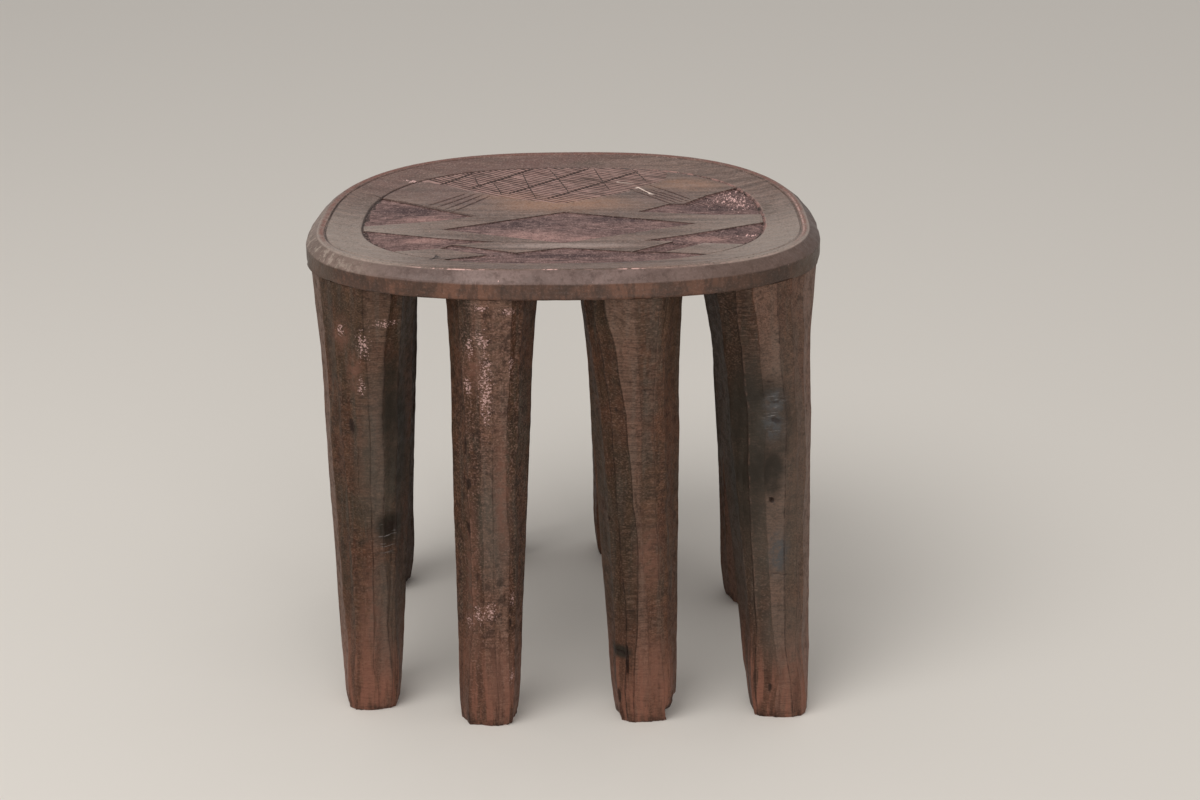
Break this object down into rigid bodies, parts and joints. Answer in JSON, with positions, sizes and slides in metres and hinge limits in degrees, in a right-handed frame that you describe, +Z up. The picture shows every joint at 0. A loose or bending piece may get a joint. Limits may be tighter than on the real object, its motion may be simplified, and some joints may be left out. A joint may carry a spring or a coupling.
{
  "type": "side table",
  "caption": "Low oval side table or stool of carved hardwood: a dished top with geometric relief on splayed, tapering legs with adzed flats.",
  "frame": {"origin": "middle of the bounding box, on the floor under the feet", "axes": "+Z up, +X to the right and +Y to the back as seen from the broad front edge"},
  "size_m": [0.406, 0.3683, 0.376],
  "materials": {
    "wood_top": "dark stained hardwood, dry satin, with rubbed edges",
    "wood_legs": "dark stained hardwood with adze marks, satin"
  },
  "bodies": {
    "root": {"table_top": "wood_top", "leg_left_front": "wood_legs", "leg_front_left": "wood_legs", "leg_front_right": "wood_legs", "leg_right_front": "wood_legs", "leg_right_rear": "wood_legs", "leg_rear_right": "wood_legs", "leg_rear_left": "wood_legs", "leg_left_rear": "wood_legs"}
  },
  "joints": []
}
